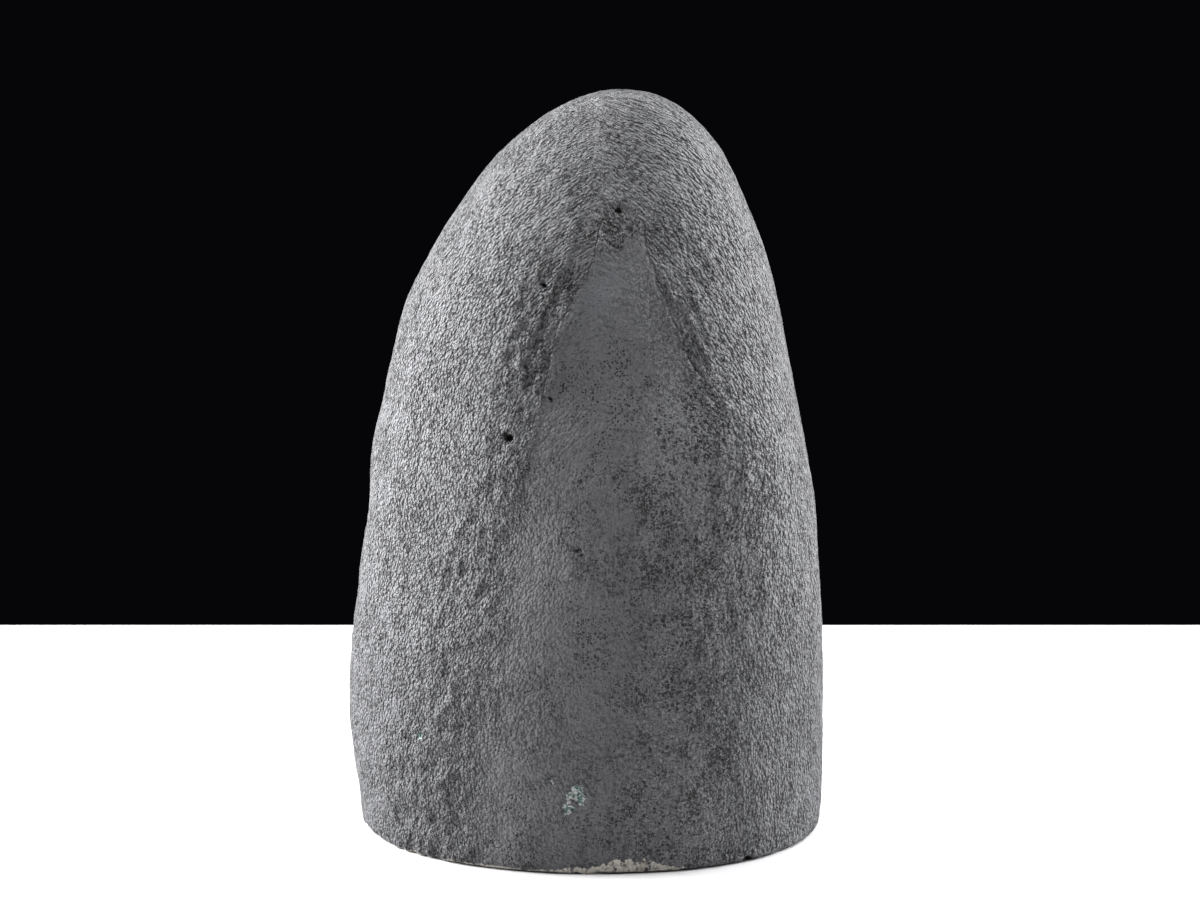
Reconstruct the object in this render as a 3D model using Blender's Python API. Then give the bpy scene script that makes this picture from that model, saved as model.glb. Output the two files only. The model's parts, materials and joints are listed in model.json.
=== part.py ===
"""Amethyst geode with a cut base: a bullet-shaped nodule sawn flat at its foot and across its front.

geode_shell     the nodule's wall, rough-coated on its back and sides
amethyst_crust  the quartz band inside that wall, and the amethyst points that grow from it

Metres, +Z up. The sawn front faces -Y and the coated back +Y. The origin is the middle of the foot.
"""

import math
import random

import bmesh
import bpy
from mathutils import Matrix, Vector, noise

# Outer size of the nodule before it is sawn.
HEIGHT = 0.1794
HALF_WIDTH = 0.0568
BACK_DEPTH = 0.0440
FRONT_DEPTH = 0.0420
WIDEST_Z = 0.020
BURIED_DEPTH = 0.095  # how far the uncut nodule goes on below its foot
PROFILE_POWER = 2.40  # seen from the side, 2 is an ellipse and more is a fuller shoulder
SIDE_POWER_PLUS_X = 2.05  # seen from above: the +X flank is the flatter one
SIDE_POWER_MINUS_X = 2.35

# The dome leans towards -X, and the ridge down the back lies on that side too, most of all half way up.
LEAN_START_Z = 0.115
TOP_LEAN = 0.0075
RIDGE_OFFSET_FOOT = 0.0010
RIDGE_OFFSET_MIDDLE = 0.0125
RIDGE_MIDDLE_Z = 0.095
RIDGE_SPREAD = 0.050

# Saw cuts.
FRONT_CUT_Y = -0.022
FRONT_CUT_LEAN = math.radians(5.0)
SAW_SIZE = 0.6
SAWN_EDGE_ANGLE = math.radians(40.0)  # sharper edges than this are shaded as edges

# Walls.
SHELL_WALL = 0.0070
SHELL_FLOOR = 0.0110
HOLLOW_WIDEST_Z = 0.045
HOLLOW_LUMPS = 0.8  # share of the outside's lumps that the hollow follows
SEAT_GAP = 0.0004  # between the shell's hollow and the crust that lines it
BAND_THICKNESS = 0.0060

# Small amethyst points, one on each cell of the crust.
POINT_SPACING = 0.0080
POINT_JITTER = 0.30  # in spacings
POINT_SLOPE = (1.00, 1.55)  # height of a point over half its width
TIP_WANDER = 0.35  # how far a tip may stand off its cell's middle, in half widths

# Large crystals, a six-sided prism with a six-sided point.
CRYSTAL_SPACING = 0.0215
CRYSTAL_JITTER = 0.35
CRYSTAL_RADIUS = (0.0036, 0.0056)
CRYSTAL_LENGTH = (1.5, 2.1)  # of the part that stands clear, in radii
CRYSTAL_ROOT = 1.0  # of the part in the crust, in radii
CRYSTAL_TAPER = 0.90
CRYSTAL_POINT = 1.15  # height of the point, in radii
CRYSTAL_TILT = 0.30

# Triangle sizes.
OUTER_SPACING = 0.0060
HOLLOW_SPACING = 0.0105
MERIDIAN_STEPS = 240
LENGTH, AREA = 1, 2  # columns of a meridian's rows
GOLDEN_ANGLE = math.pi * (3.0 - math.sqrt(5.0))
SEED = 7

# Swells and dents: angle round the nodule from +X, height, spread, how far out.
SWELLS = [
    (math.radians(2), 0.0920, 0.0100, 0.0008),
    (math.radians(0), 0.0790, 0.0080, -0.0014),
    (math.radians(2), 0.1350, 0.0120, 0.0009),
    (math.radians(0), 0.0350, 0.0260, 0.0026),
    (math.radians(40), 0.0000, 0.0200, 0.0016),
    (math.radians(180), 0.0780, 0.0200, -0.0008),
    (math.radians(38), 0.0620, 0.0200, -0.0016),
    (math.radians(60), 0.0960, 0.0140, 0.0015),
    (math.radians(84), 0.1180, 0.0160, -0.0012),
    (math.radians(118), 0.0980, 0.0150, 0.0012),
    (math.radians(150), 0.0700, 0.0220, 0.0010),
]
LUMP_LAYERS = [(0.034, 0.0011), (0.015, 0.0005)]  # wavelength, height

COAT_GREY = (0.135, 0.138, 0.143, 1.0)
AMETHYST = (0.160, 0.055, 0.300, 1.0)


class Form:
    """An egg shape: its lowest, widest and highest level, and how far inside the nodule's it lies."""

    def __init__(self, bottom, widest, top, inset, lumps):
        self.bottom = bottom
        self.widest = widest
        self.top = top
        self.inset = inset
        self.lumps = lumps
        self.meridian = self.walk_meridian()

    def profile(self, t):
        """(share of the full width, height) at angle t down from the top, 0 to pi."""
        reach = self.top - self.widest if t < math.pi / 2 else self.widest - self.bottom
        return math.sin(t), self.widest + reach * signed_power(math.cos(t), 2.0 / PROFILE_POWER)

    def walk_meridian(self):
        """Running length and area from the top down, as rows of (t, length, area)."""
        mean_radius = 0.5 * (HALF_WIDTH + BACK_DEPTH) - self.inset
        rows = [(0.0, 0.0, 0.0)]
        last = self.profile(0.0)
        for step in range(1, MERIDIAN_STEPS + 1):
            t = math.pi * step / MERIDIAN_STEPS
            share, z = self.profile(t)
            run = math.hypot((share - last[0]) * mean_radius, z - last[1])
            ring = math.pi * (share + last[0]) * mean_radius
            rows.append((t, rows[-1][1] + run, rows[-1][2] + run * ring))
            last = (share, z)
        return rows

    def where(self, column, value):
        """(t, length, area) where a column of the meridian reaches a value."""
        upper = 0
        while self.meridian[upper + 1][column] < value and upper + 2 < len(self.meridian):
            upper += 1
        above, below = self.meridian[upper], self.meridian[upper + 1]
        share = (value - above[column]) / (below[column] - above[column])
        return [start + share * (end - start) for start, end in zip(above, below)]

    def point(self, t, theta):
        """The surface point at angle t down from the top and theta round from +X."""
        share, z = self.profile(t)
        cosine, sine = math.cos(theta), math.sin(theta)
        power = SIDE_POWER_PLUS_X if cosine > 0.0 else SIDE_POWER_MINUS_X
        depth = BACK_DEPTH if sine > 0.0 else FRONT_DEPTH
        x = share * (HALF_WIDTH - self.inset) * signed_power(cosine, 2.0 / power)
        y = share * (depth - self.inset) * signed_power(sine, 2.0 / power)
        rise = math.exp(-(((z - RIDGE_MIDDLE_Z) / RIDGE_SPREAD) ** 2))
        ridge = RIDGE_OFFSET_FOOT + (RIDGE_OFFSET_MIDDLE - RIDGE_OFFSET_FOOT) * rise
        lean = max(0.0, (z - LEAN_START_Z) / (HEIGHT - LEAN_START_Z))
        x -= ridge * max(y, 0.0) ** 2 / BACK_DEPTH**2 + TOP_LEAN * lean**1.3
        return swollen(Vector((x, y, z)), theta, self.lumps)


def signed_power(value, power):
    return math.copysign(abs(value) ** power, value)


def swollen(point, theta, amount):
    """The point moved out or in by the named swells and by broad, low lumps."""
    out = sum(height * noise.noise(point / wavelength) for wavelength, height in LUMP_LAYERS)
    for angle, z, spread, height in SWELLS:
        around = math.remainder(theta - angle, math.tau) * HALF_WIDTH
        out += height * math.exp(-(around**2 + (point.z - z) ** 2) / spread**2)
    away = Vector((point.x, point.y, 0.0))
    return point + away.normalized() * out * amount


def spread_points(form, spacing, jitter):
    """(direction on a unit sphere, surface point) pairs, spread evenly down a golden spiral."""
    chance = random.Random(SEED)
    _, length, area = form.meridian[-1]
    count = round(area / (spacing**2 * math.sqrt(3.0) / 2.0))
    pairs = []
    for index in range(count):
        run = form.where(AREA, area * (index + 0.5) / count)[LENGTH]
        run += chance.uniform(-jitter, jitter) * spacing
        run = min(max(run, 0.0), length)
        t = form.where(LENGTH, run)[0]
        shift = chance.uniform(-jitter, jitter) * spacing / (HALF_WIDTH * max(math.sin(t), 0.2))
        theta = math.remainder(index * GOLDEN_ANGLE + shift, math.tau)
        polar = math.pi * run / length
        flat = Vector((math.cos(theta), math.sin(theta), 0.0)) * math.sin(polar)
        pairs.append((flat + Vector((0.0, 0.0, math.cos(polar))), form.point(t, theta)))
    return pairs


def egg(form, spacing, jitter=0.0):
    """A closed bmesh of the form: the hull of points on a sphere, moved out to the form's surface."""
    shape = bmesh.new()
    places = {}
    for direction, place in spread_points(form, spacing, jitter):
        places[shape.verts.new(direction)] = place
    bmesh.ops.convex_hull(shape, input=shape.verts[:])
    for vert, place in places.items():
        vert.co = place
    bmesh.ops.beautify_fill(shape, faces=shape.faces[:], edges=shape.edges[:], method="AREA")
    bmesh.ops.recalc_face_normals(shape, faces=shape.faces[:])
    return shape


def shrunk(shape, gap):
    """The closed shape with its corners drawn in so that each face moves by the gap."""
    for vert in shape.verts:
        vert.co -= vert.normal * vert.calc_shell_factor() * gap
    return shape


def as_object(name, shape, collection):
    mesh = bpy.data.meshes.new(name)
    shape.to_mesh(mesh)
    shape.free()
    made = bpy.data.objects.new(name, mesh)
    collection.objects.link(made)
    return made


def evaluated_mesh(made):
    graph = bpy.context.evaluated_depsgraph_get()
    return bpy.data.meshes.new_from_object(made.evaluated_get(graph))


def dual_cells(source, collection):
    """A closed object with a cell, most often six-sided, round each corner of the source object."""
    tree = bpy.data.node_groups.new("cells", "GeometryNodeTree")
    tree.interface.new_socket("Geometry", in_out="INPUT", socket_type="NodeSocketGeometry")
    tree.interface.new_socket("Geometry", in_out="OUTPUT", socket_type="NodeSocketGeometry")
    start = tree.nodes.new("NodeGroupInput")
    dual = tree.nodes.new("GeometryNodeDualMesh")
    end = tree.nodes.new("NodeGroupOutput")
    tree.links.new(start.outputs[0], dual.inputs[0])
    tree.links.new(dual.outputs[0], end.inputs[0])
    source.modifiers.new("cells", "NODES").node_group = tree
    made = bpy.data.objects.new("crystal_cells", evaluated_mesh(source))
    collection.objects.link(made)
    bpy.data.objects.remove(source)
    return made


def raise_points(cells):
    """Raises a pointed crystal on every cell, towards the inside of the cavity that they enclose."""
    chance = random.Random(SEED)
    shape = bmesh.new()
    shape.from_mesh(cells.data)
    bmesh.ops.recalc_face_normals(shape, faces=shape.faces[:])
    for face in shape.faces[:]:
        middle = face.calc_center_median()
        half_width = math.sqrt(face.calc_area() / math.pi)
        height = half_width * chance.uniform(*POINT_SLOPE)
        wander = Vector([chance.uniform(-TIP_WANDER, TIP_WANDER) for _ in range(3)]) * half_width
        top = middle - face.normal * height + wander
        bmesh.ops.poke(shape, faces=[face])["verts"][0].co = top
    shape.to_mesh(cells.data)
    shape.free()


def large_crystals(cavity, collection):
    """Six-sided prisms with points, standing in from the cavity's wall."""
    chance = random.Random(SEED)
    wall = egg(cavity, CRYSTAL_SPACING, CRYSTAL_JITTER)
    for vert in wall.verts:
        tilt = Vector([chance.uniform(-CRYSTAL_TILT, CRYSTAL_TILT) for _ in range(3)])
        axis = (tilt - vert.normal).normalized()
        radius = chance.uniform(*CRYSTAL_RADIUS)
        clear = radius * chance.uniform(*CRYSTAL_LENGTH)
        crystal = as_object("crystal", pointed_prism(radius, clear, chance.uniform(0.0, math.pi)), collection)
        crystal.rotation_euler = axis.to_track_quat("Z", "Y").to_euler()
        crystal.location = vert.co
    wall.free()


def pointed_prism(radius, clear, spin):
    """A six-sided crystal along +Z: rooted below the origin, with a point whose faces are unequal."""
    root = radius * CRYSTAL_ROOT
    shape = bmesh.new()
    bmesh.ops.create_cone(
        shape,
        cap_ends=True,
        segments=6,
        radius1=radius,
        radius2=radius * CRYSTAL_TAPER,
        depth=root + clear,
    )
    bmesh.ops.translate(shape, verts=shape.verts[:], vec=(0.0, 0.0, (clear - root) / 2.0))
    cap = max(shape.faces, key=lambda face: face.calc_center_median().z)
    tip = bmesh.ops.poke(shape, faces=[cap])["verts"][0]
    tip.co = Vector((radius * 0.14, 0.0, clear + radius * CRYSTAL_POINT))
    turn = Matrix.Rotation(spin, 3, "Z")
    bmesh.ops.rotate(shape, verts=shape.verts[:], cent=(0.0, 0.0, 0.0), matrix=turn)
    return shape


def saw_block(name, location, rotation, collection):
    """A block that fills the side below the cutting plane, which goes through its location."""
    shape = bmesh.new()
    bmesh.ops.create_cube(shape, size=SAW_SIZE)
    bmesh.ops.translate(shape, verts=shape.verts[:], vec=(0.0, 0.0, -SAW_SIZE / 2.0))
    block = as_object(name, shape, collection)
    block.location = location
    block.rotation_euler = rotation
    return block


def boolean(target, operation, tool):
    """Adds an exact Boolean with one object, or with every object of a collection."""
    step = target.modifiers.new(tool.name, "BOOLEAN")
    step.operation = operation
    step.solver = "EXACT"
    if isinstance(tool, bpy.types.Collection):
        step.operand_type = "COLLECTION"
        step.collection = tool
    else:
        step.object = tool


def settle(made):
    """Fixes an object's cuts in its mesh and lets go of the crumbs that the saw cut free."""
    shape = bmesh.new()
    shape.from_mesh(evaluated_mesh(made))
    made.modifiers.clear()
    unseen = set(shape.verts)
    bodies = []
    while unseen:
        body = connected(next(iter(unseen)))
        unseen -= body
        bodies.append(body)
    bodies.sort(key=len)
    crumbs = [vert for body in bodies[:-1] for vert in body]
    bmesh.ops.delete(shape, geom=crumbs, context="VERTS")
    shape.to_mesh(made.data)
    shape.free()


def connected(start):
    """Every corner that edges join to this one."""
    body = {start}
    to_visit = [start]
    while to_visit:
        vert = to_visit.pop()
        fresh = {edge.other_vert(vert) for edge in vert.link_edges} - body
        body |= fresh
        to_visit.extend(fresh)
    return body


def finish_material(made, name, colour, roughness):
    material = bpy.data.materials.new(name)
    material.use_nodes = True
    shader = material.node_tree.nodes["Principled BSDF"]
    shader.inputs["Base Color"].default_value = colour
    shader.inputs["Roughness"].default_value = roughness
    made.data.materials.clear()
    made.data.materials.append(material)


def stand_on_origin(made, others):
    """Moves the meshes so that the first one's box stands on the origin."""
    corners = [vert.co for vert in made.data.vertices]
    low = Vector([min(corner[axis] for corner in corners) for axis in range(3)])
    high = Vector([max(corner[axis] for corner in corners) for axis in range(3)])
    shift = Vector((-(low.x + high.x) / 2.0, -(low.y + high.y) / 2.0, -low.z))
    for each in [made, *others]:
        for vert in each.data.vertices:
            vert.co += shift


def main():
    for leftover in list(bpy.data.objects):
        bpy.data.objects.remove(leftover)
    parts = bpy.data.collections.new("amethyst_geode")
    cutters = bpy.data.collections.new("cutters")
    crystals = bpy.data.collections.new("large_crystals")
    for each in (parts, cutters, crystals):
        bpy.context.scene.collection.children.link(each)

    band = SHELL_WALL + SEAT_GAP + BAND_THICKNESS
    nodule = Form(-BURIED_DEPTH, WIDEST_Z, HEIGHT, 0.0, 1.0)
    hollow = Form(SHELL_FLOOR, HOLLOW_WIDEST_Z, HEIGHT - SHELL_WALL, SHELL_WALL, HOLLOW_LUMPS)
    cavity_floor = SHELL_FLOOR + SEAT_GAP + BAND_THICKNESS
    cavity = Form(cavity_floor, HOLLOW_WIDEST_Z, HEIGHT - band, band, HOLLOW_LUMPS)

    front_tilt = (-math.pi / 2.0 - FRONT_CUT_LEAN, 0.0, 0.0)
    front_saw = saw_block("front_saw", (0.0, FRONT_CUT_Y, 0.0), front_tilt, cutters)
    foot_saw = saw_block("foot_saw", (0.0, 0.0, 0.0), (0.0, 0.0, 0.0), cutters)
    hollow_cutter = as_object("hollow", egg(hollow, HOLLOW_SPACING), cutters)
    cells = dual_cells(as_object("seeds", egg(cavity, POINT_SPACING, POINT_JITTER), cutters), cutters)
    raise_points(cells)
    large_crystals(cavity, crystals)

    shell = as_object("geode_shell", egg(nodule, OUTER_SPACING), parts)
    boolean(shell, "DIFFERENCE", foot_saw)
    boolean(shell, "DIFFERENCE", hollow_cutter)
    boolean(shell, "DIFFERENCE", front_saw)
    crust = as_object("amethyst_crust", shrunk(egg(hollow, HOLLOW_SPACING), SEAT_GAP), parts)
    boolean(cells, "DIFFERENCE", crystals)
    boolean(crust, "DIFFERENCE", cells)
    boolean(crust, "DIFFERENCE", front_saw)
    for tool in [*cutters.objects, *crystals.objects]:
        tool.hide_render = True
        tool.display_type = "WIRE"

    settle(shell)
    settle(crust)
    stand_on_origin(shell, [crust])
    shell.data.shade_smooth()
    shell.data.set_sharp_from_angle(angle=SAWN_EDGE_ANGLE)
    finish_material(shell, "painted_coat", COAT_GREY, 0.85)
    finish_material(crust, "amethyst", AMETHYST, 0.12)


main()
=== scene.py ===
"""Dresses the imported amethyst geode: brushed grey coat, sawn front and foot, quartz band, amethyst points.

Metres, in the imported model's own frame: +Z up, the coated back faces +Y."""

import json
import math

import bmesh
import bpy
import numpy as np
from mathutils import Matrix, Vector, noise
from mathutils.geometry import delaunay_2d_cdt
from mathutils.kdtree import KDTree

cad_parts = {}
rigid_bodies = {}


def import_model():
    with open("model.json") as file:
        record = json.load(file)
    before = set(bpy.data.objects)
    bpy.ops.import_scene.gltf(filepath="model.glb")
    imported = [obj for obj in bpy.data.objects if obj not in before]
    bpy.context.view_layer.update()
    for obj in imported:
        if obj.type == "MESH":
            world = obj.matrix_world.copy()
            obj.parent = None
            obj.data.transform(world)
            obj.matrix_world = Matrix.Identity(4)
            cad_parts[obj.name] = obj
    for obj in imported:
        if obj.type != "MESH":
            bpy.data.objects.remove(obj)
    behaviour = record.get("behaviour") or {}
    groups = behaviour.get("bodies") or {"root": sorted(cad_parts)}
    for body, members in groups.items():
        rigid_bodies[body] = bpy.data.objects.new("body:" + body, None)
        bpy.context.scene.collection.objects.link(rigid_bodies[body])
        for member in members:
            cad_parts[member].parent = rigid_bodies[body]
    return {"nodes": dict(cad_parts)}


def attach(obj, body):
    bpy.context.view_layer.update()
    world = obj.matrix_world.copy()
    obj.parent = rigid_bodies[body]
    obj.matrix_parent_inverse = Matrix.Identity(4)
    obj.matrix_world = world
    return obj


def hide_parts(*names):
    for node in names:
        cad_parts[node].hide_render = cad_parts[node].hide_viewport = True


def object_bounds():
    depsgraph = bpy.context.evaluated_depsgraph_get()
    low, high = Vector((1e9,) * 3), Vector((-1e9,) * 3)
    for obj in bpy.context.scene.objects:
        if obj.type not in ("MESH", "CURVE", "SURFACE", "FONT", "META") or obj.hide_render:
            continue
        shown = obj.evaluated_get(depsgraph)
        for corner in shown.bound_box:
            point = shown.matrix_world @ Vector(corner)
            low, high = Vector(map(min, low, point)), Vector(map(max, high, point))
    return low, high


MM = 0.001

# The camera, which sees the back.
CAMERA_AIM = Vector((-0.0034, -0.0112, 0.0915))
CAMERA_DISTANCE = 0.90
CAMERA_ELEVATION = math.radians(14.0)
CAMERA_LENS = 112.9
CAMERA_CLIP_START = 0.05

# The table's far edge shows behind the geode.
TABLE_FAR_Y = -0.171
TABLE_NEAR_Y = 0.90
TABLE_HALF_WIDTH = 0.60
TABLE_THICKNESS = 0.012
TABLE_COLOUR = (0.52, 0.52, 0.53)
TABLE_ROUGHNESS = 0.5

# The dark studio, and each light's place, width and height, and watts.
WORLD_COLOUR = (0.0018, 0.0018, 0.0025)
SOFTBOXES = {
    "left_softbox": ((0.40, -0.09, 0.25), (0.28, 0.40), 11.3),
    "right_softbox": ((-0.45, -0.10, 0.27), (0.30, 0.45), 8.7),
    "top_softbox": ((0.0, 0.10, 0.80), (0.50, 0.40), 5.5),
    "back_fill": ((0.05, 0.90, 0.55), (0.60, 0.40), 0.235),
    "front_key": ((-0.40, -0.62, 0.50), (0.22, 0.22), 4.5),
    "front_fill": ((0.45, -0.60, 0.12), (0.40, 0.40), 0.8),
}

# The saw cuts: the front leans back, and the foot is level.
FRONT_LEAN = math.radians(5.0)
FRONT_NORMAL = np.array((0.0, -math.cos(FRONT_LEAN), math.sin(FRONT_LEAN)))
ON_PLANE = 0.02 * MM

# The meshes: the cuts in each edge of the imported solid, and rounds of smoothing.
COAT_CUTS = 8
COAT_ROUNDS = 45
SHORTEST_EDGE = 1.2 * MM
HOLLOW_CUTS = 3
HOLLOW_ROUNDS = 14
RIM_SPACING = 1.5 * MM
FOOT_SPACING = 2.0 * MM
FOOT_LINE_SPACING = 0.9 * MM
FILL_ROW_SPACING = 0.866  # of a flat fill's rows, in spacings
FILL_CLEARANCE = 0.62  # of its points from its border, in spacings
JOIN_DISTANCE = 1e-9
COAT, SAWN_FRONT, SAWN_FOOT = 0, 1, 2  # the shell's materials

# Noise: how far apart two seeds lie, in wavelengths.
RIPPLE_SEED_STEP = 17.3
STROKE_SEED_STEP = 7.7

# The coat, in millimetres. Pairs are where something starts and is full, and fours go on to its end.
BACK_Y = (-5, 5)
FORWARD_Y = (2, 16)  # towards the sawn front: darker grey as painted shade, with the painted crease shade and the sand halved
LOW_Z = (72, 32)  # painted shade: the grey is darker low down
DOME_Z = (146, 160)
# The flanks are rougher, from a border on: Z and X.
FLANK_BORDER_PLUS = (8, 31, 55, 79, 104, 128, 146), (24, 25, 23, 18, 12, 4.5, -2)
FLANK_BORDER_MINUS = (8, 31, 55, 79, 104, 128, 146), (30, 27, 20, 15, 16, 18, 12)
# A flat troweled facet lies between two steps in the cement: Z and X.
STEP_LEFT = (
    (60, 93.6, 105, 118.8, 125.5, 130, 134.4, 142.9, 147.8, 153, 156.5),
    (18, 14, 11, 7.4, 5.8, 4.3, 2.2, -2, -3.8, -5, -7),
)
STEP_RIGHT = (
    (104, 117.4, 120.3, 129.5, 133.8, 138, 146.5, 152.3, 156.5),
    (-30, -25.7, -23.8, -19.9, -18.5, -16.1, -13.7, -12.5, -8),
)
FACET_Z = (70, 104)
FACET_TIP_Z = (154.5, 157)
BARE_Z = (120, 134, 143, 149)  # of the facet, without specks
SPECKLED_MINUS_X = (4, 16, 30, 44)
SPECKLED_TOP_Z = (108, 124)
# Thick lumps and deep strokes lie along a line each down the back: Z and X.
LUMPY_LINE = (22, 72, 116, 150), (38, 21, 11, 4)
LUMPY_REACH = (-14, -7)
LUMPY_TOP_Z = (138, 150)
STREAKY_LINE = (60, 90, 116, 140), (-28, -27, -24, -17)
STREAKY_REACH = (-11, -5)
STREAKY_Z = (36, 62, 140, 150)
# Thin ridges beside the facet: the distance from a step, and the height as a share.
LEFT_RIDGES = (0.4, 1.7), (3.4, 0.5), (6.6, 0.6)
RIGHT_RIDGES = (4.0, 0.5), (0.0, 1.0), (-2.4, 0.5), (-4.4, 0.6), (-6.8, 0.4)
RIDGE_WIDTH = 0.75
RIDGES_Z = (104, 118, 151, 156)
# Single pits and chipped places in the back: X, Z and radius.
PITS = (
    (17.8, 103.0, 0.95), (-7.6, 154.3, 0.60), (-9.2, 156.2, 0.35), (-3.2, 151.2, 0.35),
    (-4.8, 149.4, 0.30), (-7.8, 148.4, 0.25), (-10.6, 150.4, 0.30), (9.6, 137.6, 0.45),
    (1.1, 131.3, 0.35), (8.0, 112.3, 0.45), (1.8, 78.0, 0.40), (0.6, 76.9, 0.35), (-38.8, 0.5, 1.0),
)
CHIPS = (2.1, 19.6, 2.1), (4.0, 15.9, 1.3), (8.2, 22.8, 0.7), (39.6, 29.6, 0.8)
# The coat is worn off the foot's back edge.
WORN_X = (-32, -18, 44, 50)
WORN_Y = (4, 14)
# The strokes' spacing and length on the +X side and the -X side.
LONG_STROKES = (2.2, 4.2), (1.8, 7.0)
SHORT_STROKES = (1.2, 1.9), (1.1, 3.2)
# Relief where the coat is rough, lumpy and streaky.
LONG_STROKE_RELIEF = (0.24, 0.20, 0.22)
SHORT_STROKE_RELIEF = (0.13, 0.0, 0.16)
LUMP_RELIEF = (0.12, 0.46, 0.0)
SWELL_RELIEF = 0.16
RIDGE_RELIEF = 0.62
PIT_DEPTH = 1.5
CHIP_DEPTH = 0.5
FACET_DEPTH = 0.24
COAT_DEPTH = 0.58  # keeps the highest daubs inside the solid
FRONT_EDGE_RADIUS = 1.0
FOOT_EDGE_RADIUS = 1.6
EDGE_ROUNDING = 0.8  # 1 is a full quarter round
OUTLINE_STEP = 2.0  # of the outline that the strokes follow

# The quartz band that lines the hollow.
BAND_THICKNESS = 5.4 * MM
BAND_RINGS = 5
BAND_ROUNDS = 4
BAND_TURN_DEPTH = 9.0 * MM  # from here on it grows straight off the wall

# The amethyst points.
POINT_SEED = 11
POINT_SLOPE = math.radians(51.8)
ROOT_DEPTH = 2.2 * MM
SKIRT = 8.0 * MM
POINT_CLASSES = (  # spacing, radius from and to, height from and to in radii, tries
    (14.0 * MM, 5.2 * MM, 6.8 * MM, 1.20, 1.65, 500),
    (6.0 * MM, 3.6 * MM, 4.8 * MM, 1.00, 1.50, 4000),
    (3.9 * MM, 2.1 * MM, 3.0 * MM, 1.05, 1.50, 6000),
)
POINT_TILT = 0.16
POINT_STRETCH = (0.85, 1.15)
LARGE_FACE_SET_BACK = (0.0, 0.10)  # in radii
SMALL_FACE_SET_BACK = (0.10, 0.40)
FRONT_BLOCK_SIZE = 0.4
FRONT_BLOCK_GAP = 0.03 * MM

# Materials: wavelengths in millimetres, and colours.
GRAIN_SIZES = {"minus": (0.60, 1.10), "plus": (0.58, 0.86)}  # across and along the brush strokes
SPECK_SPACING = 0.56
HOLE_SPACING = 1.05
COAT_BUMP = 4.0
TROWELED_GREYS = (0.092, 0.092, 0.098), (0.102, 0.102, 0.108)
BARE_GREY = (0.112, 0.114, 0.122)
BRUSHED_GREY = (0.140, 0.141, 0.148)
# painted shade: the brushed grey low down
LOW_SHADE_GREY = (0.104, 0.105, 0.112)
# painted shade: the brushed grey towards the sawn front
FORWARD_SHADE_GREY = (0.098, 0.099, 0.105)
# painted shade in the creases between the grains
CREASE_SHADE_GREY = (0.028, 0.028, 0.031)
DARK_SAND = (0.034, 0.034, 0.037)
PALE_SAND = (0.200, 0.199, 0.203)
# the specks and holes: partly bare holes in the paint, partly painted shade in them
PIT_HOLE_AND_SHADE_GREY = (0.009, 0.009, 0.010)
# painted shade in the deep single pits
DEEP_PIT_SHADE_GREY = (0.008, 0.008, 0.008)
WORN_ROCK = (0.50, 0.47, 0.42)
CHIPPED_ROCK = (0.075, 0.15, 0.14), (0.50, 0.52, 0.50)
BASALT = (0.050, 0.043, 0.038), (0.120, 0.105, 0.092)
BASALT_SPECK = (0.26, 0.25, 0.22)
GREEN_SKIN = (0.075, 0.130, 0.115)
AGATE = (0.15, 0.16, 0.185), (0.30, 0.30, 0.30)
CEMENT = (0.11, 0.11, 0.115)
FOOT_ROCK = (0.085, 0.075, 0.067), (0.17, 0.155, 0.14)
FOOT_SPECK = (0.34, 0.33, 0.30)
MILKY_QUARTZ = (0.16, 0.165, 0.185), (0.27, 0.27, 0.285)
CRYSTAL_ROOTS = (0.11, 0.065, 0.19)
AMETHYST = (0.60, 0.50, 0.78), (0.36, 0.17, 0.62)
AMETHYST_DEPTHS = (0.42, 0.16, 0.72)


def main():
    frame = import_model()
    cad_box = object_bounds()
    # How far from the origin the sawn front's plane lies.
    offset = float(FRONT_NORMAL @ np.array((0.0, cad_box[0].y, 0.0)))
    make_stage()

    outer, hollow = shell_sheets(frame["nodes"]["geode_shell"], offset)
    coat, coat_faces, masks = coat_surface(outer, offset)
    wall, wall_faces = hollow_surface(hollow, offset)
    shell = make_shell(coat, coat_faces, masks, wall, wall_faces, offset)
    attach(shell, "root")
    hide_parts("geode_shell")

    band, roots, root_normals, root_faces = make_band(wall, wall_faces, offset)
    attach(band, "root")
    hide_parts("amethyst_crust")

    points = make_points(roots, root_normals, root_faces, offset)
    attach(points, "root")
    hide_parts("amethyst_crust")


# -------- stage


def make_stage():
    scene = bpy.context.scene
    scene.view_settings.view_transform = "Standard"
    world = bpy.data.worlds.new("dark_studio")
    world.use_nodes = True
    world.node_tree.nodes["Background"].inputs["Color"].default_value = (*WORLD_COLOUR, 1.0)
    scene.world = world
    add_camera(scene)
    for name, (place, size, watts) in SOFTBOXES.items():
        add_softbox(name, place, size, watts)
    table = make_table()


def add_camera(scene):
    camera = linked("camera", bpy.data.cameras.new("camera"))
    camera.data.lens = CAMERA_LENS
    camera.data.clip_start = CAMERA_CLIP_START
    back = Vector((0.0, math.cos(CAMERA_ELEVATION), math.sin(CAMERA_ELEVATION)))
    camera.location = CAMERA_AIM + back * CAMERA_DISTANCE
    camera.rotation_euler = (-back).to_track_quat("-Z", "Y").to_euler()
    scene.camera = camera


def make_table():
    shape = bmesh.new()
    bmesh.ops.create_cube(shape, size=1.0)
    size = (2.0 * TABLE_HALF_WIDTH, TABLE_NEAR_Y - TABLE_FAR_Y, TABLE_THICKNESS)
    bmesh.ops.scale(shape, vec=size, verts=shape.verts[:])
    middle = (0.0, (TABLE_NEAR_Y + TABLE_FAR_Y) / 2.0, -TABLE_THICKNESS / 2.0)
    bmesh.ops.translate(shape, vec=middle, verts=shape.verts[:])
    table = object_from_bmesh("table", shape)
    graph = Graph("table_white")
    graph.set(Base_Color=TABLE_COLOUR, Roughness=TABLE_ROUGHNESS)
    table.data.materials.append(graph.material)
    return table


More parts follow.
